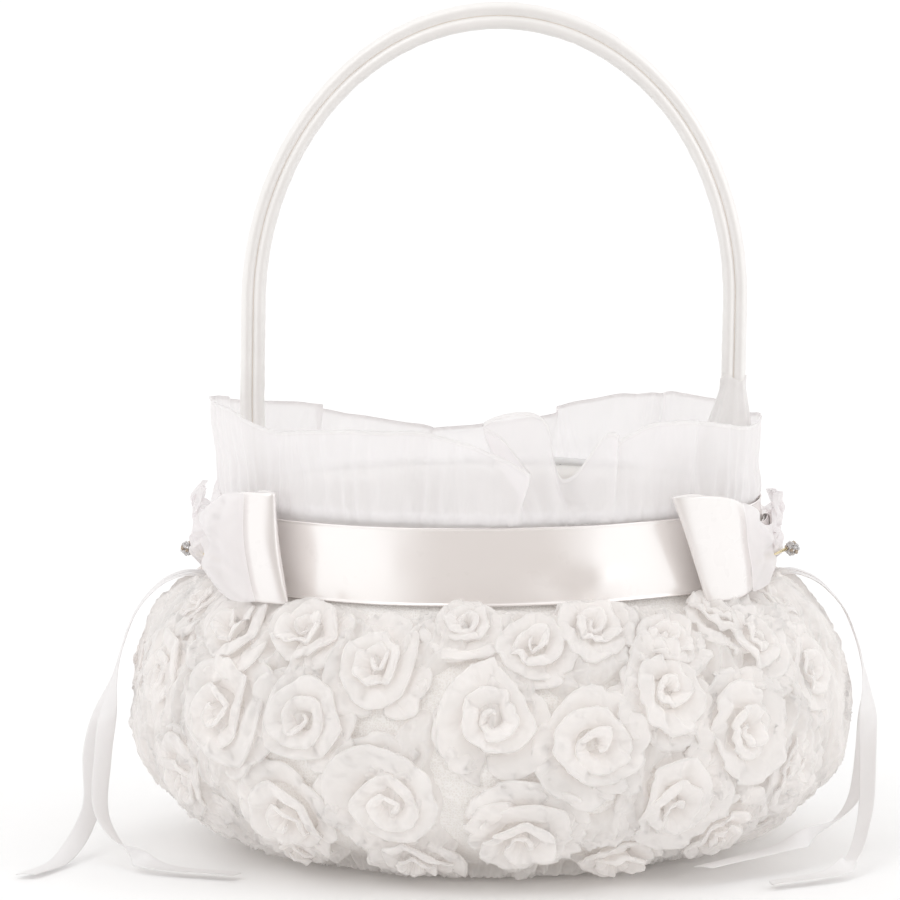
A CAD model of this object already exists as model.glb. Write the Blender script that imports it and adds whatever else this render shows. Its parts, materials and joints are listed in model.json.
"""Looks for the flower girl basket: chiffon rosettes on a net-covered bowl, an organza ruffle, satin
ribbon trim, crystal pins, ribbon streamers and a sleeved hoop handle. Metres, +Z up, front is -Y."""

import json
import math
import random
from math import cos, pi, sin, tau

import bmesh
import bpy
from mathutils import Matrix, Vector, noise


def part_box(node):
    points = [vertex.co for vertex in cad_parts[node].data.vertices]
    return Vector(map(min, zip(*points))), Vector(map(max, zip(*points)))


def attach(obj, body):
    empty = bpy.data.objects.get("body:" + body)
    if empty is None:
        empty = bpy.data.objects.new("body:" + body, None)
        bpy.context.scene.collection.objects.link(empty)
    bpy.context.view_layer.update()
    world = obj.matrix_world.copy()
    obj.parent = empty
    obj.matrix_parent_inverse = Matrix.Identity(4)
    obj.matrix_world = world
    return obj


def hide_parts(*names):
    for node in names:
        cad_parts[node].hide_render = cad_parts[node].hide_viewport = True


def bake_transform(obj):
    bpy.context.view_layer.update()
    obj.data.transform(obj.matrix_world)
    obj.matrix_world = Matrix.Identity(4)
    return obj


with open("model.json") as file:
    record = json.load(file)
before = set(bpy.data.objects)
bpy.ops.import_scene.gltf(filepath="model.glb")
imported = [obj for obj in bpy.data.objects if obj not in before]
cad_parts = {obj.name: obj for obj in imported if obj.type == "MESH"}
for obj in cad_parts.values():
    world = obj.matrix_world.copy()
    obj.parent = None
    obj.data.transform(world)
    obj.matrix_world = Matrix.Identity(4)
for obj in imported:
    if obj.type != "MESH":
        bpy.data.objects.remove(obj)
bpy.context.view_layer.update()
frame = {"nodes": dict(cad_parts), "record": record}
Y_AXIS = Vector((0, 1, 0))
Z_AXIS = Vector((0, 0, 1))


def mix(a, b, t):
    return a + (b - a) * t


def smooth(t):
    t = min(max(t, 0.0), 1.0)
    return t * t * (3 - 2 * t)


def bump_at(x, centre, width):
    """A smooth bump of height 1 at centre, for small local changes of shape."""
    return math.exp(-(((x - centre) / width) ** 2))


def wobble(x, y, z, seed=0.0):
    """Smooth noise from -1 to 1, the same on every run."""
    return noise.noise(Vector((x + seed * 17.3, y - seed * 5.1, z + seed * 3.7)))


def signed_power(x, power):
    return math.copysign(abs(x) ** power, x)


def catmull(p0, p1, p2, p3, t):
    """A Catmull-Rom curve between p1 and p2, for numbers or vectors."""
    value = 2 * p1 + (p2 - p0) * t + (2 * p0 - 5 * p1 + 4 * p2 - p3) * t * t
    return (value + (3 * p1 - p0 - 3 * p2 + p3) * t**3) / 2


def around(azimuth, radius, height):
    """A point round the basket. Azimuth 0 is the front and grows towards +X."""
    return Vector((radius * sin(azimuth), -radius * cos(azimuth), height))


def circle(count):
    """Angles right round, for a closed row."""
    return [tau * i / count for i in range(count)]


def shares(count):
    """Numbers from 0 to 1 in equal steps."""
    return [i / count for i in range(count + 1)]


def grid(down, across, point):
    return [[point(v, u) for u in across] for v in down]


def front_degrees(azimuth):
    """Degrees round from the front, from -180 to 180."""
    return (math.degrees(azimuth) + 180) % 360 - 180


def at_the_side(azimuth):
    """1 at the body's sides, where the cloth lies calmer against the silhouette, and 0 elsewhere."""
    return smooth((abs(sin(azimuth)) - 0.80) / 0.15)


# ---- body surface

# The body's outline, the same superellipse as the CAD part's.
BELLY_R = 0.1095
BELLY_Z = 0.0445
DOWN = 0.0458
UP = 0.0562
ROUNDNESS = 2.5
FOOT_R = 0.062
NECK_R = 0.0841
NECK_TOP = 0.1117
BAND_LOW = 0.0872
BAND_TOP = 0.1109
OUTLINE_STEPS = 160
NECK_STEPS = 20
FOOT_FLARE = 0.9
NORMAL_STEP = 0.004


def build_outline():
    """The outline as (arc length, radius, height), from the base's edge to the neck's top."""
    low = -math.acos((FOOT_R / BELLY_R) ** (ROUNDNESS / 2))
    high = math.acos((NECK_R / BELLY_R) ** (ROUNDNESS / 2))
    power = 2 / ROUNDNESS
    points = []
    for t in shares(OUTLINE_STEPS):
        angle = mix(low, high, t)
        rise = signed_power(sin(angle), power)
        height = BELLY_Z + (DOWN if angle < 0 else UP) * rise
        points.append((BELLY_R * cos(angle) ** power, height))
    top = points[-1][1]
    points += [(NECK_R, mix(top, NECK_TOP, t)) for t in shares(NECK_STEPS)[1:]]
    table = [(0.0, *points[0])]
    for before, after in zip(points, points[1:]):
        table.append((table[-1][0] + math.dist(before, after), *after))
    return table


OUTLINE = build_outline()
OUTLINE_END = OUTLINE[-1][0]


def outline_at(s):
    """(radius, height) at an arc length, carried straight on past both ends."""
    if s <= 0:
        return OUTLINE[0][1] + s * FOOT_FLARE, OUTLINE[0][2]
    if s >= OUTLINE_END:
        return NECK_R, NECK_TOP + (s - OUTLINE_END)
    low, high = 0, len(OUTLINE) - 1
    while high - low > 1:
        middle = (low + high) // 2
        if OUTLINE[middle][0] <= s:
            low = middle
        else:
            high = middle
    s0, r0, z0 = OUTLINE[low]
    s1, r1, z1 = OUTLINE[high]
    t = (s - s0) / (s1 - s0)
    return mix(r0, r1, t), mix(z0, z1, t)


def on_body(azimuth, s, lift=0.0):
    """A point on the body at an arc length, lifted along the normal."""
    radius, height = outline_at(s)
    r0, z0 = outline_at(s - NORMAL_STEP)
    r1, z1 = outline_at(s + NORMAL_STEP)
    length = math.hypot(r1 - r0, z1 - z0)
    radius += (z1 - z0) / length * lift
    height -= (r1 - r0) / length * lift
    return around(azimuth, radius, height)


def arc_at_share(share):
    """Arc length at the CAD outline's share of the way from the base to the neck."""
    return OUTLINE[min(OUTLINE_STEPS, max(0, round(share * OUTLINE_STEPS)))][0]


# ---- materials

BUMP_DISTANCE = 0.0002
WAVE_PERIOD = 0.314  # metres between the bands of a wave texture whose scale is 1
NET_CELLS = 1150.0
LOOKS = {}
# The record's material slots whose look has another name.
SLOT_LOOKS = {"foam": "pad", "plastic": "socket", "silver": "pin"}


def empty_tree(owner):
    """The emptied node tree of a material or the world."""
    owner.use_nodes = True
    owner.node_tree.nodes.clear()
    return owner.node_tree


def new_look(name):
    """The empty node tree of a new material, which LOOKS then holds by name."""
    LOOKS[name] = bpy.data.materials.new(f"{name}_look")
    return empty_tree(LOOKS[name])


def set_input(tree, socket, value):
    """Sets a socket's value, or links it when the value is itself a socket."""
    if isinstance(value, bpy.types.NodeSocket):
        tree.links.new(value, socket)
    else:
        socket.default_value = value


def node(tree, kind, settings=(), **inputs):
    """A shader node, without ShaderNode in its kind, and its inputs by name with _ for a space."""
    made = tree.nodes.new(f"ShaderNode{kind}")
    for key, value in dict(settings).items():
        setattr(made, key, value)
    for key, value in inputs.items():
        set_input(tree, made.inputs[key.replace("_", " ")], value)
    return made


def math_node(tree, operation, a, b=0.0):
    made = node(tree, "Math", {"operation": operation})
    for socket, value in zip(made.inputs, (a, b)):
        set_input(tree, socket, value)
    return made.outputs[0]


def ramp(tree, fac, stops):
    made = node(tree, "ValToRGB", Fac=fac)
    elements = made.color_ramp.elements
    while len(elements) < len(stops):
        elements.new(0.5)
    for element, (at, colour) in zip(elements, stops):
        element.position = at
        element.color = (*colour, 1.0)
    return made.outputs["Color"]


def object_coords(tree):
    return node(tree, "TexCoord").outputs["Object"]


def speckle(tree, coords, scale, detail):
    return node(tree, "TexNoise", Vector=coords, Scale=scale, Detail=detail).outputs["Fac"]


def bumped(tree, height, strength):
    made = node(tree, "Bump", Height=height, Strength=strength, Distance=BUMP_DISTANCE)
    return made.outputs["Normal"]


def uneven(tree, fac, middle, spread):
    """A roughness that varies round its middle value."""
    return math_node(tree, "ADD", math_node(tree, "MULTIPLY", fac, spread), max(middle - spread / 2, 0.0))


def mixed_colour(tree, share, first, second):
    made = node(tree, "Mix", {"data_type": "RGBA"}, Factor=share, A=first, B=second)
    return made.outputs["Result"]


def mixed_shader(tree, share, first, second):
    made = node(tree, "MixShader", Fac=share)
    tree.links.new(first, made.inputs[1])
    tree.links.new(second, made.inputs[2])
    return made.outputs["Shader"]


def weave_height(tree, coords, pitch):
    """Two crossed sets of threads at a pitch in metres, as a height from 0 to 1."""
    heights = []
    for direction in ("X", "Z"):
        bands = {"wave_type": "BANDS", "bands_direction": direction}
        scale = WAVE_PERIOD / pitch
        wave = node(tree, "TexWave", bands, Vector=coords, Scale=scale, Distortion=0.6, Detail=1.0)
        heights.append(wave.outputs["Fac"])
    return math_node(tree, "MULTIPLY", math_node(tree, "ADD", *heights), 0.5)


def cloth(name, colour, roughness, pitch, bump, see_through=0.0, glow=0.2, sheen=0.2, lustre=0.0,
          tint=0.02, lift=0.0):
    """Woven cloth. glow is the light it passes on diffusely, see_through how sheer it is, lustre its
    satin shine, tint its colour variation, and lift a faint light of its own for light from inside."""
    tree = new_look(name)
    coords = object_coords(tree)
    height = weave_height(tree, coords, pitch)
    darker = tuple(c * (1 - 2.2 * tint) for c in colour)
    shade = ramp(tree, speckle(tree, coords, 60.0, 3.0), [(0.3, darker), (0.7, colour)])
    normal = bumped(tree, height, bump)
    surface = node(
        tree,
        "BsdfPrincipled",
        Base_Color=shade,
        Roughness=uneven(tree, speckle(tree, coords, 140.0, 2.0), roughness, 0.16),
        Normal=normal,
        Sheen_Weight=sheen,
        Sheen_Roughness=0.5,
        Specular_IOR_Level=0.3,
        Emission_Color=(1.0, 0.965, 0.935, 1),
        Emission_Strength=lift,
    ).outputs["BSDF"]
    if lustre:
        shine = node(tree, "BsdfAnisotropic", Color=(0.96, 0.94, 0.93, 1), Normal=normal)
        shine.inputs["Roughness"].default_value = roughness * 0.75
        shine.inputs["Anisotropy"].default_value = 0.45
        surface = mixed_shader(tree, lustre, surface, shine.outputs["BSDF"])
    if glow:
        through = node(tree, "BsdfTranslucent", Color=shade, Normal=normal)
        surface = mixed_shader(tree, glow, surface, through.outputs["BSDF"])
    if see_through:
        clear = node(tree, "BsdfTransparent").outputs["BSDF"]
        facing = node(tree, "LayerWeight", Blend=0.35).outputs["Facing"]
        open_share = math_node(tree, "MULTIPLY", math_node(tree, "SUBTRACT", 1.0, facing), see_through)
        threads = math_node(tree, "SUBTRACT", 1.05, math_node(tree, "MULTIPLY", height, 0.1))
        surface = mixed_shader(tree, math_node(tree, "MULTIPLY", open_share, threads), surface, clear)
    node(tree, "OutputMaterial", Surface=surface)


def net(name):
    """Satin seen through fine net: pale threads round small cells, over a warmer ground."""
    tree = new_look(name)
    edges = {"feature": "DISTANCE_TO_EDGE"}
    cells = node(tree, "TexVoronoi", edges, Vector=object_coords(tree), Scale=NET_CELLS, Randomness=0.8)
    thread = ramp(tree, cells.outputs["Distance"], [(0.1, (1, 1, 1)), (0.22, (0, 0, 0))])
    shade = mixed_colour(tree, thread, (0.885, 0.855, 0.825, 1), (0.94, 0.92, 0.9, 1))
    shader = node(tree, "BsdfPrincipled", Base_Color=shade, Roughness=0.6, Normal=bumped(tree, thread, 0.6))
    node(tree, "OutputMaterial", Surface=shader.outputs["BSDF"])


def hard(name, colour, roughness, metallic=0.0, grain=800.0, bump=0.15, glass=0.0):
    """A hard surface, with a fine grain in its colour, roughness and height."""
    tree = new_look(name)
    grit = speckle(tree, object_coords(tree), grain, 4.0)
    darker = tuple(c * 0.86 for c in colour)
    shader = node(
        tree,
        "BsdfPrincipled",
        Base_Color=ramp(tree, grit, [(0.35, darker), (0.65, colour)]),
        Roughness=uneven(tree, grit, roughness, 0.2),
        Metallic=metallic,
        Normal=bumped(tree, grit, bump),
        Transmission_Weight=glass,
    )
    node(tree, "OutputMaterial", Surface=shader.outputs["BSDF"])


# Name, colour and roughness, and for cloth the thread pitch in metres and the bump too.
cloth("chiffon", (0.94, 0.925, 0.915), 0.8, 0.00035, 0.15, see_through=0.32, glow=0.36, sheen=0.5, lift=0.09)
cloth("satin", (0.93, 0.9, 0.89), 0.28, 0.0003, 0.08, glow=0.04, lustre=0.45, tint=0.005, lift=0.04)
cloth("band", (0.94, 0.905, 0.89), 0.3, 0.0003, 0.05, glow=0.0, lustre=0.5, tint=0.004, lift=0.06)
cloth("ribbon", (0.94, 0.93, 0.93), 0.5, 0.0003, 0.12, lustre=0.1, tint=0.01)
cloth("sleeve", (0.89, 0.875, 0.858), 0.4, 0.0004, 0.2, glow=0.0, lustre=0.2)
cloth("seam", (0.8, 0.735, 0.66), 0.6, 0.0004, 0.3, glow=0.0)
cloth("organza", (0.94, 0.92, 0.925), 0.5, 0.0003, 0.08, see_through=0.24, glow=0.35, tint=0.01, lift=0.03)
cloth("hem", (0.955, 0.94, 0.935), 0.5, 0.0004, 0.2, see_through=0.16)
net("tulle")
cloth("lining", (0.95, 0.93, 0.91), 0.4, 0.0004, 0.15, lustre=0.25)
cloth("wadding", (0.92, 0.92, 0.92), 0.95, 0.002, 1.0)
cloth("pad", (0.88, 0.87, 0.82), 0.9, 0.0012, 0.8)
hard("shell", (0.8, 0.78, 0.72), 0.55)
hard("board", (0.5, 0.38, 0.26), 0.85, grain=300.0, bump=0.5)
hard("steel", (0.62, 0.62, 0.64), 0.35, metallic=1.0, grain=2000.0)
hard("socket", (0.88, 0.87, 0.84), 0.45)
hard("pin", (0.8, 0.66, 0.34), 0.25, metallic=1.0, bump=0.05)
hard("crystal", (0.93, 0.92, 0.92), 0.12, bump=0.0, glass=0.5)
hard("facet", (0.52, 0.44, 0.36), 0.1, metallic=0.9, bump=0.0)


def finish_cad_nodes():
    """Gives every CAD node the look of its material slot."""
    for row in frame["record"]["subparts"]:
        slots = frame["nodes"][row["node"]].data.materials
        slots.clear()
        slot = row["material_slot"]
        slots.append(LOOKS[SLOT_LOOKS.get(slot, slot)])


# ---- mesh helpers


def add_grid(bm, rows, closed_u=False, closed_v=False):
    """Adds rows of points to a mesh, joined by smooth quads."""
    verts = [[bm.verts.new(p) for p in row] for row in rows]
    height, width = len(verts), len(verts[0])
    for j in range(height if closed_v else height - 1):
        for i in range(width if closed_u else width - 1):
            i2, j2 = (i + 1) % width, (j + 1) % height
            face = bm.faces.new((verts[j][i], verts[j][i2], verts[j2][i2], verts[j2][i]))
            face.smooth = True


def linked(name, data):
    """A new object in the scene."""
    obj = bpy.data.objects.new(name, data)
    bpy.context.collection.objects.link(obj)
    return obj


def new_object(name, bm, *looks, thickness=0.0, levels=0):
    mesh = bpy.data.meshes.new(name)
    bm.to_mesh(mesh)
    bm.free()
    for look in looks:
        mesh.materials.append(LOOKS[look])
    obj = linked(name, mesh)
    if thickness:
        solid = obj.modifiers.new("cloth_thickness", "SOLIDIFY")
        solid.thickness = thickness
        solid.offset = 0.0
    if levels:
        subdivide = obj.modifiers.new("smooth", "SUBSURF")
        subdivide.levels = levels
        subdivide.render_levels = levels
    return obj


def sheet(name, rows, look, closed_u=True, closed_v=False, **options):
    """An object from a grid of points, with each row closed unless told otherwise."""
    bm = bmesh.new()
    add_grid(bm, rows, closed_u, closed_v)
    return new_object(name, bm, look, **options)


def place(obj, slot, *nodes, body="basket"):
    """Rides the piece on a body, names its slot, and hides the CAD nodes it stands for."""
    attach(obj, body)
    if nodes:
        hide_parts(*nodes)


def piece(name, rows, look, slot, *nodes, body="basket", **options):
    place(sheet(name, rows, look, **options), slot, *nodes, body=body)


# ---- rosettes

# Rosettes seen from the front: degrees round from the front, share up the outline, width in mm.
FRONT_ROSETTES = [
    (-19, 0.79, 27), (-5, 0.91, 22), (7, 0.85, 21), (18, 0.9, 22), (31, 0.85, 20), (51, 0.81, 27),
    (-34, 0.87, 25), (-52, 0.85, 28), (0, 0.655, 30), (16, 0.6, 30), (29, 0.71, 28), (43, 0.6, 31),
    (64, 0.7, 28), (-31, 0.64, 31), (-48, 0.63, 33), (-68, 0.68, 31), (-16, 0.46, 34), (5, 0.33, 31),
    (30, 0.43, 31), (60, 0.48, 30), (-36, 0.38, 29), (45, 0.29, 26), (-60, 0.44, 29), (-15, 0.2, 27),
    (25, 0.19, 26), (-42, 0.19, 25), (66, 0.25, 26), (-70, 0.24, 26), (46, 0.9, 19), (68, 0.9, 22),
    (-70, 0.9, 23),
]
# Rows round the back: share up the outline, degrees from one rosette to the next, width in mm.
BACK_ROWS = [(0.89, 17.0, 24), (0.7, 15.5, 30), (0.5, 16.0, 31), (0.29, 18.5, 28)]
FRONT_EDGE = 74.0
# The CAD strip that a rosette stands for, by the share up the outline that the strip ends at.
STRIPS = [(0.26, "base"), (0.5, "lower"), (0.75, "upper"), (2.0, "shoulder")]
ROSETTE_FULLNESS = 1.12
STRIP_THICKNESS = 0.00028
COIL_STEPS = 150
PETAL_STEPS = 20
FOLD_R = 0.00042
LOWEST = 0.0002
# A petal's section from its root to its folded edge: (share of the way out, share of the height).
PETAL_PROFILE = [
    (0.00, 0.00), (0.04, 0.24), (0.13, 0.45), (0.27, 0.65), (0.45, 0.81), (0.65, 0.92), (0.84, 0.98),
    (0.97, 1.00),
]


def rosette_places():
    rng = random.Random(11)
    places = list(FRONT_ROSETTES)
    for row, (share, pitch, width) in enumerate(BACK_ROWS):
        first = FRONT_EDGE + pitch * (0.55 + 0.3 * (row % 2))
        count = round((360 - 2 * FRONT_EDGE - pitch) / pitch)
        step = (360 - 2 * first) / (count - 1)
        for i in range(count):
            azimuth = first + step * i + rng.uniform(-2, 2)
            places.append((azimuth, share + rng.uniform(-0.02, 0.02), width + rng.uniform(-2, 2)))
    return places


def petal_row(root, rim, height, curl=1.0):
    """Points up one petal: out along its cupped face, then round the fold along its edge."""
    row = [(*root.lerp(rim, out), height * up) for out, up in PETAL_PROFILE]
    away = (rim - root).normalized() if (rim - root).length > 1e-6 else Vector((1, 0))
    for turn in (0.7, 1.6, 2.6):
        spot = rim + away * (FOLD_R * curl * sin(turn) * 1.3)
        row.append((*spot, height - FOLD_R * curl * (1 - cos(turn)) * 1.2))
    return row


def crumpled(u, v, k, seed, size):
    """Coarse and fine crumple at the k-th point up a petal, fading out towards its root."""
    free = min(1.0, k / 5)
    coarse = size * wobble(u * 230, v * 230, seed + k * 0.1) * free
    return coarse + size / 2 * wobble(u * 560, v * 560, seed + k * 0.1) * free


def coil_corners(rng, radius, turns, start, hand):
    """Where a strip is bent as it coils out: (turns so far, place, height, bulge of the side after)."""
    corners = []
    turn = 0.0
    while turn < turns + 0.3:
        out = radius * (0.09 + 0.93 * (turn / turns) ** 1.04)
        out *= rng.uniform(0.84, 1.15) if turn > 0.3 else 1.0
        angle = start + hand * tau * turn
        spot = Vector((cos(angle), sin(angle))) * out
        corners.append((turn, spot, rng.uniform(0.66, 1.08), rng.uniform(0.05, 0.22)))
        turn += rng.uniform(0.13, 0.27)
    return corners


def rosette_coil(rng, radius, turns, calm):
    """Rows of (u, v, height) for one folded strip, bent at corners as it coils out from the bud."""
    hand = rng.choice((-1, 1))
    start = rng.uniform(0, tau)
    tall = rng.uniform(0.0066, 0.008) * (0.5 + 0.5 * radius / 0.016) * mix(1.0, 0.8, calm)
    seed = rng.uniform(0, 50)
    corners = coil_corners(rng, radius, turns, start, hand)
    rows = []
    for t in shares(COIL_STEPS):
        turned = turns * t**0.84
        now = min(max(k for k, c in enumerate(corners) if c[0] <= turned + 1e-9), len(corners) - 2)
        (at0, spot0, high0, bulge), (at1, spot1, high1, _) = corners[now], corners[now + 1]
        across = (turned - at0) / (at1 - at0)
        hump = sin(pi * across)
        rim = spot0.lerp(spot1, across)
        side = Vector((spot1.y - spot0.y, spot0.x - spot1.x)) * hand
        rim += side * (bulge * hump**0.8)
        rim += Vector((wobble(turned * 2.2, seed, 0), wobble(turned * 2.2, seed, 6))) * (0.0036 * t)
        rooted = rim.length * (0.4 + 0.1 * t)
        root = rim.normalized() * min(rooted, max(rim.length - 0.0008, 0.0001))
        height = tall * (1 - 0.4 * t**1.5) * mix(high0, high1, across)
        height *= 1 + 0.26 * (hump - 0.6) * min(1.0, t * 3)
        height *= mix(0.78, 1.0, smooth(t / 0.1))
        height *= mix(0.25, 1.0, smooth((1 - t) / 0.08))
        row = []
        for k, (u, v, z) in enumerate(petal_row(root, rim, height)):
            crumple = crumpled(u, v, k, seed, 0.0016)
            crumple += 0.00016 * cos(turned * 58 + seed) * sin(pi * min(1.0, k / 8))
            crumple *= mix(1.0, 0.55, calm)
            row.append((u + crumple * 0.7, v + crumple * 0.5, max(z + crumple, LOWEST)))
        rows.append(row)
    return rows


def loose_petal(rng, radius):
    """A wide low arc of the strip outside the coil, reaching over to the next rosette."""
    start = rng.uniform(0, tau)
    sweep = rng.uniform(1.2, 2.4)
    inner = radius * rng.uniform(0.55, 0.75)
    reach = radius * rng.uniform(0.36, 0.58)
    tall = rng.uniform(0.0026, 0.0044)
    seed = rng.uniform(0, 50)
    kink = rng.uniform(0.35, 0.65)
    rows = []
    for t in shares(PETAL_STEPS):
        angle = start + sweep * t
        fade = sin(pi * mix(0.05, 0.95, t)) ** 0.5
        turn = Vector((cos(angle), sin(angle)))
        out = inner + reach * fade * (1 + 0.22 * wobble(t * 3, seed, 0) - 0.16 * bump_at(t, kink, 0.07))
        height = tall * fade * (1 + 0.3 * wobble(t * 4, seed, 2) - 0.25 * bump_at(t, kink, 0.05))
        row = []
        for k, (u, v, z) in enumerate(petal_row(turn * inner, turn * out, height, fade)):
            crumple = crumpled(u, v, k, seed, 0.0018)
            row.append((u + crumple, v, max(z + crumple, LOWEST)))
        rows.append(row)
    return rows


def build_rosette(name, azimuth, share, width):
    rng = random.Random(name)
    azimuth = math.radians(azimuth)
    middle = arc_at_share(share)
    radius = width / 2000 * ROSETTE_FULLNESS
    stretch = rng.uniform(0.94, 1.1)
    body_r = outline_at(middle)[0]
    strips = [rosette_coil(rng, radius, rng.uniform(2.5, 3.1), at_the_side(azimuth))]
    strips += [loose_petal(rng, radius) for _ in range(rng.randint(3, 5))]
    bm = bmesh.new()
    for strip in strips:
        rows = []
        for flat_row in strip:
            row = []
            for u, v, lift in flat_row:
                spot = on_body(azimuth + u / (body_r * stretch), middle + v * stretch, 0.0004 + lift)
                spot.z = max(spot.z, 0.0012 + 0.1 * lift)
                row.append(spot)
            rows.append(row)
        add_grid(bm, rows)
    return new_object(name, bm, "chiffon", thickness=STRIP_THICKNESS)


def build_rosettes():
    shown = set()
    for number, (azimuth, share, width) in enumerate(rosette_places()):
        strip = next(name for top, name in STRIPS if share < top)
        rosette = build_rosette(f"rosette_{strip}_{number:02d}", azimuth, share, width)
        stands_for = {f"rosette_strip_{strip}"} - shown
        place(rosette, "chiffon", *stands_for)
        shown |= stands_for


def build_gathers():
    """Crumpled chiffon between the rosettes: full at the sides and the foot, thin in front."""

    def point(level, azimuth):
        s = mix(-0.0016, OUTLINE_END - 0.02, level)
        x, y, h = sin(azimuth) * 0.1, -cos(azimuth) * 0.1, s * 0.9
        shift = 0.01 * wobble(x * 70, y * 70, h * 70, 5)
        ridged = 1 - abs(wobble(x * 190 + shift * 120, y * 190, h * 150 + shift * 260, 1)) * 3.4
        fine = 1 - abs(wobble(x * 420, y * 420, h * 330 + shift * 200, 2)) * 3.0
        broad = wobble(x * 60, y * 60, h * 60, 3)
        calm = at_the_side(azimuth)
        foot = 1 - smooth((s - 0.006) / 0.014)
        lift = 0.0024 + 0.0022 * ridged * (1 - 0.35 * calm) + 0.0009 * fine * (1 - 0.6 * calm)
        lift += 0.003 * broad
        lift += 0.0016 * calm
        lift += 0.0026 * foot
        side = smooth((abs(front_degrees(azimuth) + 4) - 34) / 22)
        patch = smooth((broad + 0.02) / 0.16) * 0.8
        below_band = smooth((OUTLINE_END - 0.024 - s) / 0.01)
        lift = mix(-0.0012, max(lift, 0.0004), max(side, foot, patch) * below_band)
        spot = on_body(azimuth, s, lift)
        spot.z = max(spot.z, 0.0008 + 0.0006 * max(0.0, fine))
        return spot

    piece("chiffon_gathers", grid(shares(150), circle(840), point), "chiffon", "chiffon")


# ---- net cover, lining and base

LEG_SIDE = 0.955
LINING_FLOOR_R = 0.069
LINING_LIP_R = 0.0816
PIPING_R = 0.0009
BASE_SEGMENTS = 12
STITCHES = 84
STITCH_R = 0.00035


def build_cover():
    """Net gathered over satin, with shallow puckers that run up the bowl."""

    def point(level, azimuth):
        s = mix(-0.001, OUTLINE_END - 0.0006, level)
        x, y = sin(azimuth) * 6, cos(azimuth) * 6
        pucker = 0.0005 * wobble(x * 2.2, y * 2.2, s * 18) + 0.0003 * wobble(x * 6, y * 6, s * 30)
        pucker *= 1 - smooth((s - 0.112) / 0.01)
        return on_body(azimuth, s, min(pucker, 0.0004) - 0.0002)

    rows = grid(shares(44), circle(240), point)
    piece("tulle_cover", rows, "tulle", "tulle", "outer_cover", thickness=0.0004)


def build_lining():
    """Satin gathered down the inside of the bowl to a flat floor, with a piped seam round it."""
    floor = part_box("lining")[0].z + 0.0009

    def wall_point(t, azimuth):
        s = mix(0.02, OUTLINE_END, t)
        gather = 0.0007 * cos(48 * azimuth + 2.5 * wobble(azimuth * 3, t * 3, 1))
        gather += 0.0005 * wobble(sin(azimuth) * 9, cos(azimuth) * 9, t * 4)
        belly = sin(pi * min(1.0, s / OUTLINE_END))
        lift = -0.0052 - 0.0046 * belly + gather * (0.35 + 0.65 * belly)
        beside_leg = smooth((abs(sin(azimuth)) - LEG_SIDE) / 0.03)
        beside_leg *= smooth((s - OUTLINE_END + 0.021) / 0.007)
        spot = on_body(azimuth, s, mix(lift, -0.004, beside_leg))
        return around(azimuth, LINING_FLOOR_R, floor).lerp(spot, min(1.0, t / 0.22))

    rows = grid(shares(30), circle(288), wall_point)
    top = rows[-1]
    for share, rise in ((0.3, 0.0004), (0.7, 0.0008), (1.0, 0.0009)):
        row = []
        for spot in top:
            out = Vector((spot.x, spot.y, 0)).normalized() * LINING_LIP_R
            row.append(Vector((mix(spot.x, out.x, share), mix(spot.y, out.y, share), spot.z + rise)))
        rows.append(row)
    piece("satin_lining_wall", rows, "lining", "satin", "lining")
    edge = rows[0][0].to_2d().length

    def floor_point(share, azimuth):
        radius = max(edge * share, 0.0004)
        quilt = 0.0009 * abs(cos(azimuth * 4)) * sin(pi * share)
        ripple = 0.0004 * wobble(radius * 90 * sin(azimuth), radius * 90 * cos(azimuth), 3)
        return around(azimuth, radius, floor + quilt + ripple)

    piece("satin_lining_floor", grid(shares(21), circle(144), floor_point), "lining", "satin")
    low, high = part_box("rim_wire")
    wire = (high.z - low.z) / 2
    ring_cord("satin_rim_binding", high.x - wire, (low.z + high.z) / 2, wire + 0.0005, "ribbon", 144)
    ring_cord("lining_floor_piping", edge, floor + 0.0006, PIPING_R, "satin", 120)


def ring_cord(name, radius, height, thick, look, steps):
    """A cord or binding round the basket, with a slight twist."""

    def point(turn, i):
        twist = 1 + 0.12 * cos(turn * 2 + i * 0.9)
        r = radius + thick * twist * cos(turn)
        return around(tau * i / steps, r, height + thick * twist * sin(turn))

    piece(name, grid(circle(8), range(steps), point), look, "satin", closed_v=True)


def build_base():
    """The base cloth: a disc with a turned edge and a ring of stitches near it."""
    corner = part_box("base_cover")[1]
    edge, top = corner.x, corner.z
    profile = [(0.0004, 0.0)]
    profile += [(edge * k / BASE_SEGMENTS, 0.00002 * k) for k in range(1, BASE_SEGMENTS)]
    profile += [(edge - 0.0006, 0.0002), (edge, 0.0006), (edge - 0.0004, top - 0.0001)]
    rows = grid(profile, circle(120), lambda ring, azimuth: around(azimuth, *ring))
    piece("base_cloth", rows, "satin", "satin", "base_cover")
    bm = bmesh.new()
    for azimuth in circle(STITCHES):
        turn = Vector((cos(azimuth), sin(azimuth), 0))
        out = Vector((sin(azimuth), -cos(azimuth), 0))
        made = bmesh.ops.create_uvsphere(bm, u_segments=6, v_segments=4, radius=STITCH_R)
        for vert in made["verts"]:
            vert.co.x *= 3.2
            vert.co.z *= 0.6
            sunk = Vector((0, 0, vert.co.z + 0.0003))
            vert.co = turn * vert.co.x + out * (edge - 0.004 + vert.co.y) + sunk
    place(new_object("base_stitches", bm, "ribbon"), "satin")


# ---- neck

# Shares of the band's width, closer together at its edges.
BAND_ROWS = [0, 0.012, 0.03] + [mix(0.05, 0.95, t) for t in shares(14)] + [0.97, 0.988, 1.0]
BAND_COLUMNS = 360
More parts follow.
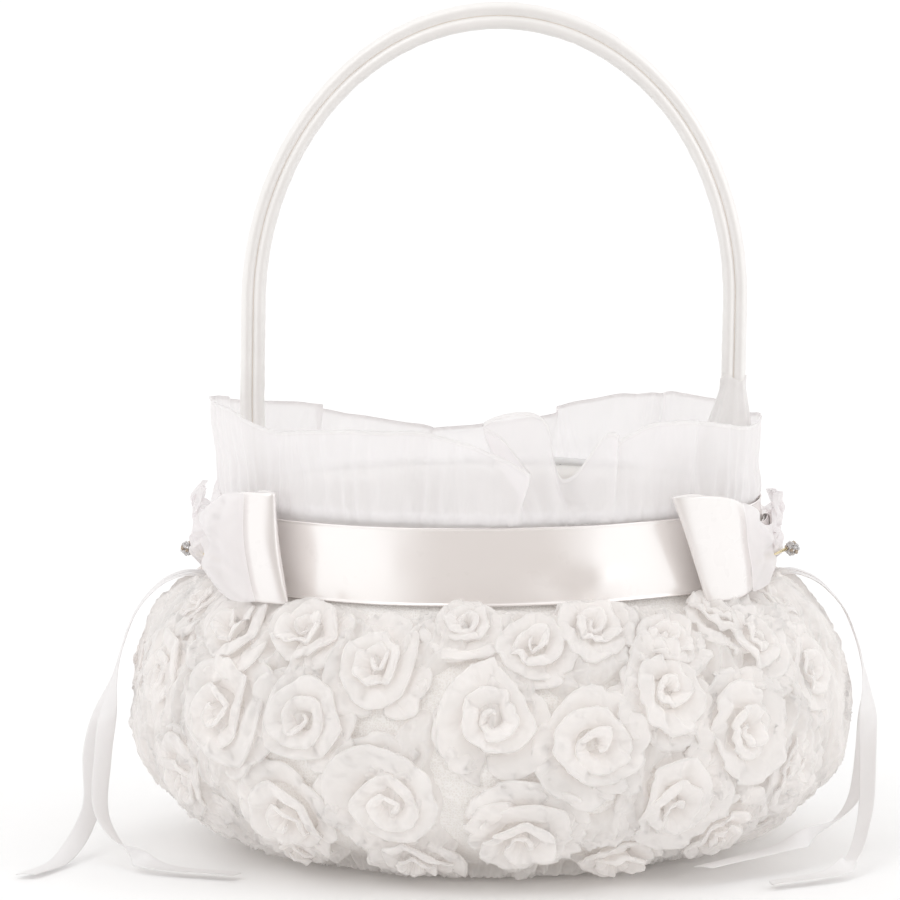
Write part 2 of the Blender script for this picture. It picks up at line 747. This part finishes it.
# The ruffle's free edge, as (degrees round at the band, degrees round at the edge, radius, height).
# It's folded over itself in front, with a deep gap and a narrow fold to the right of it.
RUFFLE_EDGE = [
    (-76, -77, 0.0888, 0.143), (-66, -66, 0.0892, 0.1425), (-58, -60, 0.0878, 0.1405),
    (-51, -49, 0.0885, 0.1378), (-38, -39, 0.0885, 0.1391), (-26, -26, 0.0885, 0.1399),
    (-16, -15, 0.089, 0.1404), (-9, -9, 0.0905, 0.139), (-4, -4.5, 0.093, 0.1372),
    (-1, -1.0, 0.095, 0.135), (2, 2.8, 0.0955, 0.1325), (4, 6.5, 0.0945, 0.1285),
    (5.5, 6.5, 0.09, 0.1295), (6.5, 2.0, 0.087, 0.1385), (8, -2.0, 0.085, 0.1425),
    (10, 3.0, 0.0825, 0.1455), (12, 9.0, 0.082, 0.1455), (14, 12.0, 0.0825, 0.141),
    (15.5, 13.5, 0.081, 0.131), (17, 15.5, 0.079, 0.125), (19, 18.5, 0.08, 0.1265),
    (21, 21.0, 0.085, 0.134), (23, 23.0, 0.089, 0.1395), (24.5, 25.5, 0.0885, 0.1385),
    (26.5, 26.0, 0.0845, 0.135), (29, 27.5, 0.086, 0.1375), (33, 32.5, 0.089, 0.1415),
    (39, 39.0, 0.0895, 0.142), (45, 45.5, 0.088, 0.1415), (48, 46.5, 0.086, 0.141),
    (52, 52.0, 0.0875, 0.14), (62, 62.5, 0.0878, 0.1375), (76, 76, 0.0864, 0.1365),
    (90, 90, 0.086, 0.1375), (104, 103, 0.0866, 0.136), (112, 114, 0.086, 0.1355),
    (122, 121, 0.089, 0.1375), (134, 136, 0.088, 0.1385), (140, 138, 0.085, 0.138),
    (150, 150, 0.089, 0.1365), (162, 164, 0.0895, 0.132), (168, 165, 0.086, 0.1295),
    (178, 178, 0.0885, 0.126), (190, 192, 0.0895, 0.124), (196, 193, 0.0865, 0.125),
    (206, 206, 0.0885, 0.1285), (218, 220, 0.0895, 0.133), (224, 221, 0.086, 0.1345),
    (236, 236, 0.0885, 0.137), (248, 249, 0.0895, 0.139), (258, 256, 0.0875, 0.141),
    (270, 270, 0.089, 0.143),
]
RUFFLE_START = RUFFLE_EDGE[0][0]
RUFFLE_COLUMNS = 1080
RUFFLE_LOW = 0.089
RUFFLE_FOOT_R = NECK_R + 0.0007


def build_band():
    """The satin band, a touch higher on the right, with a dent in front and piped woven edges."""
    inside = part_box("neck_band")[1].x - 0.0003

    def point(v, i):
        azimuth = tau * i / BAND_COLUMNS
        degrees = front_degrees(azimuth)
        dent = 0.0016 * bump_at(degrees, 13, 7) * bump_at(v, 0.3, 0.22)
        ridge = 0.001 * bump_at(degrees, 22, 5) * bump_at(v, 0.28, 0.14)
        slack = 0.0008 * bump_at(degrees, -2, 16) * bump_at(v, 0.45, 0.35)
        soft = 0.00045 * wobble(sin(azimuth) * 6, cos(azimuth) * 6, v * 1.5)
        rib = 0.0003 if v < 0.02 or v > 0.98 else 0.0
        teeth = 0.0001 * (i % 2) if v in (0, 1.0) else 0.0
        r = inside + 0.0006 - dent + ridge - slack + soft * sin(pi * v) + rib
        tilt = 0.0008 * sin(azimuth)
        z = mix(BAND_LOW, BAND_TOP, v) + tilt + 0.0003 * wobble(azimuth * 3, 0, 5)
        return around(azimuth, r, z + (teeth if v else -teeth))

    rows = grid(BAND_ROWS, range(BAND_COLUMNS), point)
    piece("satin_neck_band", rows, "band", "satin", "neck_band", thickness=0.0004, levels=1)


def ruffle_edge(degrees):
    """(degrees, radius, height) of the free edge above a place on the band."""
    count = len(RUFFLE_EDGE)
    degrees = (degrees - RUFFLE_START) % 360 + RUFFLE_START
    after = next((k for k, knot in enumerate(RUFFLE_EDGE) if knot[0] > degrees), count)
    picked = []
    for k in (after - 2, after - 1, after, after + 1):
        turn, index = divmod(k, count)
        at, edge, radius, height = RUFFLE_EDGE[index]
        picked.append((at + 360 * turn, edge + 360 * turn, radius, height))
    t = (degrees - picked[1][0]) / (picked[2][0] - picked[1][0])
    return [catmull(*values, t) for values in list(zip(*picked))[1:]]


def ruffle_radius(rise, radius, azimuth, v, z):
    """Radius at a share of the rise from the band's top to the free edge, with gathers and waves."""
    x, y = sin(azimuth), cos(azimuth)
    r = mix(RUFFLE_FOOT_R, radius, smooth(rise**0.75 * 1.05))
    gather = 0.0006 * cos(84 * azimuth + 5 * wobble(x * 5, y * 5, 2))
    r += gather * smooth(rise / 0.12) * (1 - 0.85 * smooth(rise / 0.7))
    r += 0.0022 * wobble(x * 8, y * 8, v * 1.3) * smooth(rise / 0.5) * (1 - 0.4 * smooth(rise))
    r += 0.00035 * wobble(x * 34, y * 34, v * 4.0) * smooth(rise / 0.3)
    r += 0.0013 * smooth(rise / 0.06) * (1 - smooth((rise - 0.15) / 0.35))
    return mix(max(r, RUFFLE_FOOT_R), r, smooth((z - 0.1145) / 0.0035))


def build_ruffle():
    """The organza ruffle: gathered under the band, then flared and folded to a hemmed edge."""
    columns = []
    hem = []
    for i in range(RUFFLE_COLUMNS):
        degrees = 360 * i / RUFFLE_COLUMNS + RUFFLE_START
        azimuth = math.radians(degrees)
        edge, radius, top = ruffle_edge(degrees)
        top += 0.0005 * wobble(sin(azimuth) * 12, cos(azimuth) * 12, 7)
        column = []
        for v in shares(30):
            z = mix(RUFFLE_LOW, top, v)
            rise = (z - BAND_TOP) / max(top - BAND_TOP, 0.001)
            r, turn = RUFFLE_FOOT_R, azimuth
            if rise > 0:
                r = ruffle_radius(rise, radius, azimuth, v, z)
                turn = math.radians(mix(degrees, edge, smooth(rise)))
            column.append(around(turn, r, z))
        columns.append(column)
        last, below = column[-1], column[-3]
        out = Vector((last.x, last.y, 0)).normalized()
        down = (below - last).normalized()
        stitch = 0.00012 if i % 6 < 4 else 0.0
        turned = last + out * 0.0003
        sewn = last + out * (0.0001 + stitch) + down * 0.0012
        hem.append((last - out * 0.0001, turned, turned + down * 0.0008, sewn))
    piece("organza_ruffle", list(zip(*columns)), "organza", "organza", "organza_collar")
    piece("organza_ruffle_hem", list(zip(*hem)), "hem", "organza")


def build_leg_gather():
    """Organza drawn up round the right leg of the handle, which it follows as the handle tilts."""
    path = hoop_path()[::-1]
    rows = []
    for t in shares(18):
        z = mix(0.149, 0.121, t)
        spot = min(path, key=lambda p: abs(p.z - z) + (0 if p.x > 0 else 1))
        tie = 0.0003 * bump_at(t, 0.12, 0.08)
        half_u = mix(0.0043, 0.0088, smooth(t)) - tie
        half_v = mix(0.0028, 0.0078, smooth(t * 1.1)) - tie
        row = []
        for angle in circle(72):
            pleat = 1 + mix(0.03, 0.14, t) * cos(9 * angle + 2 * wobble(angle, t * 2, 8))
            u = half_u * pleat * cos(angle) - 0.0022 * t
            v = half_v * pleat * sin(angle)
            row.append(Vector((spot.x + u, v, z + 0.001 * cos(3 * angle) * (1 - t))))
        rows.append(row)
    gather = sheet("organza_leg_gather", rows, "hem")
    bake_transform(gather)


# ---- bows, poufs and pins

BOW_Z = 0.1025
PIN_Z = 0.094
BOW_HALF = 0.017
BOW_WAIST = 0.0075
BOW_SPAN = math.radians(50)
BOW_DEPTH = 0.013
BOW_BLUNTNESS = 0.6
BOW_WAIST_DEPTH = 0.001
BOW_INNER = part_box("neck_band")[1].x + 0.0019
KNOT_HALF_Y = 0.005
POUF_PETALS = 7
STONES = 26
STONE_R = 0.00072
STONE_BALL_R = 0.0019
GOLDEN_ANGLE = 2.399963
PIN_WIRE_R = 0.00035


def bow_point(side, turn, v, outset=0.0):
    """A point on a bow's loop: turn goes round the loop, and v from -1 to 1 across the ribbon."""
    swing = signed_power(cos(turn), BOW_BLUNTNESS)
    full = smooth((abs(swing) - 0.3) / 0.6)
    half = mix(BOW_WAIST, BOW_HALF, full)
    front = swing > 0
    wide = 1.0
    if side > 0 and front:
        wide += 0.2 * v - 0.1
    if side < 0 and front:
        wide += 0.1 - 0.22 * v * v
    depth = mix(BOW_WAIST_DEPTH, BOW_DEPTH * wide, full)
    reach = 1 + (0.105 * v - 0.01 if side > 0 else -0.07 - 0.035 * v) * (1 if front else 0.4)
    crease = 0.0009 * cos(6 * v + 3 * turn) * (1 - full) * smooth((abs(swing) - 0.1) / 0.2)
    ripple = 0.0005 * wobble(turn * 1.5, v * 1.2, side * 3)
    radius = BOW_INNER + depth * (1 + sin(turn)) / 2 + crease * (sin(turn) > 0) + ripple * full
    radius += outset
    angle = BOW_SPAN * swing * reach
    drop = (BOW_HALF - half) * (BOW_Z - PIN_Z) / BOW_HALF
    return Vector((side * radius * cos(angle), -radius * sin(angle), BOW_Z - drop + v * half))


def build_bow(side, hand):
    """A loop of wide satin ribbon each way, wrapped at the waist; the nose of each faces round."""
    rows = grid(shares(18), circle(120), lambda v, turn: bow_point(side, turn, v * 2 - 1))
    piece(f"satin_bow_{hand}", rows, "satin", "satin", f"bow_{hand}", thickness=0.0004, levels=1)

    low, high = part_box(f"bow_knot_{hand}")
    middle = (low + high) / 2
    half_x, half_z = (high.x - low.x) / 2 - 0.0002, (high.z - low.z) / 2 - 0.0002

    def knot_point(share, angle):
        v = share * 2 - 1
        flat_x = signed_power(cos(angle), 0.35)
        flat_z = signed_power(sin(angle), 0.7)
        pleat = 0.00035 * cos(v * 9) * (1 if cos(angle) * side > 0 else 0)
        waist = 1 - 0.1 * (1 - v * v)
        x = middle.x + half_x * flat_x + side * pleat
        return Vector((x, v * KNOT_HALF_Y, middle.z + half_z * flat_z * waist))

    name, stands_for = f"satin_knot_{hand}", f"bow_knot_{hand}"
    rows = grid(shares(10), circle(40), knot_point)
    piece(name, rows, "satin", "satin", stands_for, thickness=0.0003, levels=1)


def build_pouf_loop(side, hand, end, end_name):
    """A sheer loop over half of the satin bow. It's fuller and shorter on the left."""
    puff, stop = (1.0, 0.95) if side > 0 else (1.9, 0.62)

    def point(share, t):
        v = share * 2 - 1
        turn = mix(pi / 2, stop if end > 0 else pi - stop, t)
        swell = sin(pi * min(t * 1.02, 1.0)) ** 0.7
        wave = 0.0014 * cos(5.5 * v + 7 * t + side) + 0.0016 * wobble(t * 4, v * 2.4, side + end)
        outset = 0.0013 + puff * (0.0022 * swell + wave * swell * 0.7)
        spot = bow_point(side, turn, v * (0.98 + 0.1 * swell), max(outset, 0.0011))
        spot.z -= 0.001 * swell * v
        return spot

    rows = grid(shares(22), shares(48), point)
    piece(f"organza_loop_{hand}_{end_name}", rows, "organza", "organza", closed_u=False, levels=1)


def build_pouf(side, hand):
    """Sheer loops over the satin ones, and crumpled petals of organza round the knot."""
    build_pouf_loop(side, hand, 1, "front")
    build_pouf_loop(side, hand, -1, "rear")
    low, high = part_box(f"organza_pouf_{hand}")
    centre = (low + high) / 2
    near = low.x if side > 0 else high.x
    rng = random.Random(31 if side > 0 else 32)
    longer, fuller = (1.0, 0.0016) if side > 0 else (1.15, 0.0034)
    for petal in range(POUF_PETALS):
        lean = tau * (petal + 0.35) / POUF_PETALS + rng.uniform(-0.2, 0.2)
        reach = 0.0185 * rng.uniform(0.9, 1.1) * longer
        seed = rng.uniform(0, 40)

        def point(t, share):
            w = share * 2 - 1
            wide = 0.0006 + 0.01 * sin(pi * mix(0.06, 0.985, t)) ** 0.75
            along = 0.0018 + reach * t
            curl = fuller * sin(pi * (0.12 + 0.8 * t))
            crimp = 0.0009 * cos(w * 9 + seed) * sin(pi * t)
            crimp += 0.0022 * wobble(t * 2.5, w * 2, seed)
            y = along * cos(lean) - wide * w * sin(lean)
            z = 0.62 * (along * sin(lean) + wide * w * cos(lean))
            round_off = y * y / 0.17
            x = near + side * (0.0012 + curl + crimp - 0.0022 * w * w * t - round_off)
            return Vector((x, y, centre.z + z))

        name = f"organza_petal_{hand}_{petal}"
        stands_for = [] if petal else [f"organza_pouf_{hand}"]
        rows = grid(shares(16), shares(14), point)
        piece(name, rows, "organza", "organza", *stands_for, closed_u=False, levels=1)


def build_pin(side, hand):
    """A ball of small cut stones on a gilt pin."""
    low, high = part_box(f"crystal_{hand}")
    centre = (low + high) / 2
    centre.x += side * 0.001
    bm = bmesh.new()
    for i in range(STONES):
        up = 1 - 2 * (i + 0.5) / STONES
        angle = i * GOLDEN_ANGLE
        flat = math.sqrt(1 - up * up)
        spot = Vector((flat * cos(angle), flat * sin(angle), up))
        made = bmesh.ops.create_icosphere(bm, subdivisions=1, radius=STONE_R)
        for vert in made["verts"]:
            vert.co = vert.co + centre + spot * STONE_BALL_R
        for face in {f for vert in made["verts"] for f in vert.link_faces}:
            face.material_index = int(i % 3 == 0)
    ball = new_object(f"crystal_ball_{hand}", bm, "crystal", "facet")
    place(ball, "crystal", f"crystal_{hand}")

    start = Vector((centre.x - side * 0.0015, centre.y, centre.z))
    end = Vector((side * 0.0815, -0.048, centre.z + 0.001))
    out = (end - start).normalized().cross(Z_AXIS).normalized()

    def point(t, angle):
        thick = PIN_WIRE_R * (1.5 if t < 0.04 else 1.0)
        return start.lerp(end, t) + (out * cos(angle) + Z_AXIS * sin(angle)) * thick

    rows = grid((0, 0.03, 0.5, 0.97, 1.0), circle(10), point)
    piece(f"gilt_pin_{hand}", rows, "pin", "silver", f"crystal_pin_{hand}")


# ---- streamers

# The joint of each pair is at this place on its own side of the basket.
STREAMER_TOP = Vector((0.0885, 0.0, 0.0864))
STREAMER_HALF = 0.003
STREAMER_STEPS = 130
HIDDEN_STEPS = 13
# Each streamer: side, where it leaves the knot (y), and the low part of its path.
STREAMERS = {
    "left_rear": (-1, 0.0044, [
        (-0.1215, 0.001, 0.052), (-0.1275, -0.006, 0.03), (-0.127, -0.022, 0.013),
        (-0.134, -0.046, 0.0024), (-0.144, -0.068, 0.0014),
    ]),
    "left_front": (-1, -0.0044, [
        (-0.1205, -0.01, 0.052), (-0.123, -0.02, 0.03), (-0.1215, -0.038, 0.013),
        (-0.106, -0.058, 0.0026), (-0.079, -0.07, 0.0014),
    ]),
    "right_rear": (1, 0.0044, [
        (0.1205, -0.002, 0.052), (0.1195, -0.012, 0.03), (0.113, -0.032, 0.015),
        (0.094, -0.056, 0.009), (0.064, -0.08, 0.006),
    ]),
    "right_front": (1, -0.0044, [
        (0.1195, -0.014, 0.052), (0.1195, -0.028, 0.03), (0.1165, -0.048, 0.013),
        (0.108, -0.068, 0.003), (0.085, -0.084, 0.0014),
    ]),
}


def curve_through(points, steps):
    """A smooth curve through the points, ends included."""
    ends = [2 * points[0] - points[1]] + points + [2 * points[-1] - points[-2]]
    spans = len(points) - 1
    made = []
    for i in range(steps + 1):
        at = spans * i / steps
        k = min(int(at), spans - 1)
        made.append(catmull(*ends[k : k + 4], at - k))
    return made


def heading(path, i):
    """The direction of a path at its i-th point."""
    return (path[min(i + 1, len(path) - 1)] - path[max(i - 1, 0)]).normalized()


def build_streamer(name, side, y_top, low_points):
    """A 6 mm satin ribbon on its CAD path, with its end cut at a slant."""
    top = [
        (0.088, y_top * 0.6, 0.093), (STREAMER_TOP.x, y_top, STREAMER_TOP.z), (0.092, y_top, 0.0862),
        (0.099, y_top, 0.0862), (0.107, y_top, 0.082), (0.115, y_top * 1.05, 0.0715),
    ]
    points = [Vector((side * x, y, z)) for x, y, z in top] + [Vector(p) for p in low_points]
    path = curve_through(points, STREAMER_STEPS)
    rows = []
    previous = Y_AXIS
    for i, spot in enumerate(path):
        along = heading(path, i)
        share = (i - HIDDEN_STEPS) / (len(path) - 1 - HIDDEN_STEPS)
        facing = smooth((share - 0.5) / 0.16) * (1 - smooth((share - 0.78) / 0.2))
        round_body = Vector((-spot.y, spot.x, 0)).normalized() * side
        out = Vector((spot.x, spot.y, 0)).normalized()
        lying = along.cross(Z_AXIS)
        lying = lying.normalized() * (1 if lying.dot(round_body) > 0 else -1)
        flat = round_body.lerp(lying, smooth((share - 0.62) / 0.2))
        width = flat * (1 - facing) + (out * 0.6 + Vector((0, 0, 0.35))) * facing
        width = (width - along * width.dot(along)).normalized()
        if width.dot(previous) < 0 and i:
            width = -width
        previous = width
        normal = along.cross(width)
        cut = 0.0028 * max(0.0, (i - len(path) + 4) / 3)
        row = []
        for v in (k / 6 * 2 - 1 for k in range(7)):
            cup = normal * (0.0004 * v * v)
            row.append(spot + width * (STREAMER_HALF * v) + cup + along * (cut * v * 0.5))
        rows.append(row)
    obj = sheet(f"satin_streamer_{name}", rows, "ribbon", closed_u=False, thickness=0.0003, levels=1)
    apply_modifiers(obj)
    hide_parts(f"streamer_{name}")
    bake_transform(obj)


def apply_modifiers(obj):
    """Makes the modifiers' result the mesh, for a piece that bends with the frame."""
    evaluated = obj.evaluated_get(bpy.context.evaluated_depsgraph_get())
    mesh = bpy.data.meshes.new_from_object(evaluated)
    obj.modifiers.clear()
    obj.data = mesh


# ---- handle

HOOP_HALF = 0.0768
HOOP_SPRING_Z = 0.1732
HOOP_RISE = 0.091
HOOP_LEAN = 0.016
TOE_IN = 0.0025
TOE_LOW = 0.106
TOE_HIGH = 0.142
PIVOT_Z = 0.0917
SOCKET_TOP = 0.1037
SLEEVE_LOW = 0.1041
LEG_STEPS = 40
ARCH_STEPS = 120
WIRE_SPACING = 0.00185
SLEEVE_SIDE_R = 0.002
SLEEVE_FACE_R = 0.0021
SEAM_HALF = 0.00045
SEAM_DEPTH = 0.00085


def hoop_path():
    """The handle's centre line, from the left foot over to the right one, leaning a little to +X."""
    left = []
    for i in range(LEG_STEPS):
        z = mix(SLEEVE_LOW, HOOP_SPRING_Z, i / LEG_STEPS)
        half = HOOP_HALF - TOE_IN * (1 - smooth((z - TOE_LOW) / (TOE_HIGH - TOE_LOW)))
        left.append((-half, z))
    arch = []
    for t in shares(ARCH_STEPS):
        angle = pi * (1 - t)
        arch.append((HOOP_HALF * cos(angle), HOOP_SPRING_Z + HOOP_RISE * sin(angle)))
    leaning = []
    for x, z in left + arch + [(-x, z) for x, z in reversed(left)]:
        leaning.append(Vector((x + HOOP_LEAN * (z - PIVOT_Z) * smooth((z - SOCKET_TOP) / 0.02), 0, z)))
    return leaning


def sleeve_section():
    """The sleeve's outline: a lobe over each wire, and a groove between them on both faces."""
    section = []
    for lobe, face in ((1, -1), (-1, -1), (-1, 1), (1, 1)):
        inwards = lobe * face < 0
        for degrees in (20, 55, 90, 125, 152) if inwards else (152, 125, 90, 55, 20):
            angle = math.radians(degrees)
            u = lobe * (WIRE_SPACING + SLEEVE_SIDE_R * cos(angle))
            section.append((u, face * SLEEVE_FACE_R * sin(angle)))
        section.append((0.0, face * 0.00045) if inwards else (lobe * 0.004, 0.0))
    return section


def build_handle():
    """Two ridges of satin over the wires, a sewn groove between them, and fine gathers across."""
    path = hoop_path()
    outward = [heading(path, i).cross(Y_AXIS).normalized() for i in range(len(path))]
    section = sleeve_section()
    rows = []
    for i, (spot, out) in enumerate(zip(path, outward)):
        crown = 1 + 0.1 * smooth((spot.z - 0.235) / 0.03)
        row = []
        for k, (u, v) in enumerate(section):
            gather = 1 + 0.045 * wobble(i * 0.9, k * 0.3, 3) + 0.02 * cos(i * 2.1 + k)
            row.append(spot + out * (u * gather * crown) + Y_AXIS * (v * gather))
        rows.append(row)
    piece("satin_handle_sleeve", rows, "sleeve", "satin", "handle_sleeve", body="handle", levels=1)
    for face, face_name in ((-1, "front"), (1, "back")):
        sunk = Y_AXIS * (face * SEAM_DEPTH)
        edges = (-SEAM_HALF, SEAM_HALF)
        rows = [[spot + out * edge + sunk for spot, out in zip(path, outward)] for edge in edges]
        piece(f"handle_seam_{face_name}", rows, "seam", "satin", body="handle", closed_u=False)


# ---- stage

FILL = 1.06
MIRRORED = 1.1
BACKDROP = 1.05
KEY = 0.28
SIDE = 0.24
FLOOR_SIZE = 30
FLOOR_Z = -0.0004
VIEW_DISTANCE = 1.5
VIEW_ELEVATION = math.radians(6)
VIEW_TARGET = Vector((-0.0128, 0, 0.1257))


def look_at(obj, target):
    obj.rotation_euler = (target - obj.location).to_track_quat("-Z", "Y").to_euler()


def sun_light(name, direction, strength, softness, colour=(1, 1, 1)):
    light = bpy.data.lights.new(name, "SUN")
    light.energy = strength
    light.angle = math.radians(softness)
    light.color = colour
    obj = linked(name, light)
    obj.location = Vector(direction) * -2
    look_at(obj, Vector((0, 0, 0)))


def build_floor():
    """White paper, which satin mirrors as a darker patch in front of the basket."""
    bpy.ops.mesh.primitive_plane_add(size=FLOOR_SIZE, location=(0, 0, FLOOR_Z))
    floor = bpy.context.object
    floor.name = "studio_floor"
    mat = bpy.data.materials.new("floor_look")
    tree = empty_tree(mat)
    coords = object_coords(tree)
    whites = [(0.3, (0.955, 0.955, 0.955)), (0.7, (0.965, 0.965, 0.965))]
    shade = ramp(tree, speckle(tree, coords, 40.0, 3.0), whites)
    place_at = node(tree, "SeparateXYZ", Vector=coords).outputs
    sideways = math_node(tree, "ABSOLUTE", math_node(tree, "DIVIDE", place_at["X"], place_at["Y"]))
    ahead = math_node(tree, "LESS_THAN", place_at["Y"], -0.16)
    glossy = node(tree, "LightPath").outputs["Is Glossy Ray"]
    middle = ramp(tree, sideways, [(0.38, (1, 1, 1)), (1.0, (0, 0, 0))])
    darker = math_node(tree, "MULTIPLY", math_node(tree, "MULTIPLY", ahead, glossy), middle)
    paper = node(tree, "BsdfDiffuse", Color=mixed_colour(tree, darker, shade, (0.42, 0.37, 0.34, 1)))
    node(tree, "OutputMaterial", Surface=paper.outputs["BSDF"])
    floor.data.materials.append(mat)


def build_light():
    """Soft light from all round, with a darker side behind the camera."""
    world = bpy.data.worlds.new("studio")
    tree = empty_tree(world)
    path = node(tree, "LightPath").outputs
    coords = node(tree, "TexCoord").outputs["Generated"]
    depth = node(tree, "SeparateXYZ", Vector=coords).outputs["Y"]
    towards = math_node(tree, "MULTIPLY", math_node(tree, "ADD", depth, 1.0), 0.5)
    glossy_stops = [(0.0, (0.36, 0.31, 0.28)), (0.06, (0.4, 0.35, 0.32)), (0.2, (1, 0.98, 0.97))]
    glossy_stops.append((1.0, (1, 1, 1)))
    soft_stops = [(0.0, (0.79, 0.775, 0.765)), (0.25, (0.94, 0.93, 0.925)), (0.6, (1.0, 1.0, 1.0))]

    def background(colour, strength):
        return node(tree, "Background", Color=colour, Strength=strength).outputs["Background"]

    fill = background(ramp(tree, towards, soft_stops), FILL)
    mirrored = background(ramp(tree, towards, glossy_stops), MIRRORED)
    lit = mixed_shader(tree, path["Is Glossy Ray"], fill, mirrored)
    seen = mixed_shader(tree, path["Is Camera Ray"], lit, background((1, 1, 1, 1), BACKDROP))
    node(tree, "OutputWorld", Surface=seen)
    bpy.context.scene.world = world
    sun_light("key_light", (0.55, 0.75, -0.85), KEY, 30)
    sun_light("side_light", (-0.9, 0.35, -0.5), SIDE, 25, (1.0, 0.98, 0.96))


def build_camera():
    """Six degrees above the basket from 1.5 m away, as in the photo."""
    back, up = VIEW_DISTANCE * cos(VIEW_ELEVATION), VIEW_DISTANCE * sin(VIEW_ELEVATION)
    camera = bpy.data.cameras.new("camera")
    camera.lens = 187.5
    camera.sensor_width = 36
    obj = linked("camera", camera)
    obj.location = VIEW_TARGET + Vector((0, -back, up))
    look_at(obj, VIEW_TARGET)
    scene = bpy.context.scene
    scene.camera = obj
    scene.view_settings.view_transform = "Standard"
    scene.cycles.max_bounces = 24
    scene.cycles.diffuse_bounces = 10
    scene.cycles.transparent_max_bounces = 16


# ---- everything

finish_cad_nodes()
build_cover()
build_lining()
build_base()
build_gathers()
build_rosettes()
build_band()
build_ruffle()
for side, hand in ((-1, "left"), (1, "right")):
    build_bow(side, hand)
    build_pouf(side, hand)
    build_pin(side, hand)
for name, streamer in STREAMERS.items():
    build_streamer(name, *streamer)
build_handle()
build_leg_gather()
build_floor()
build_light()
build_camera()
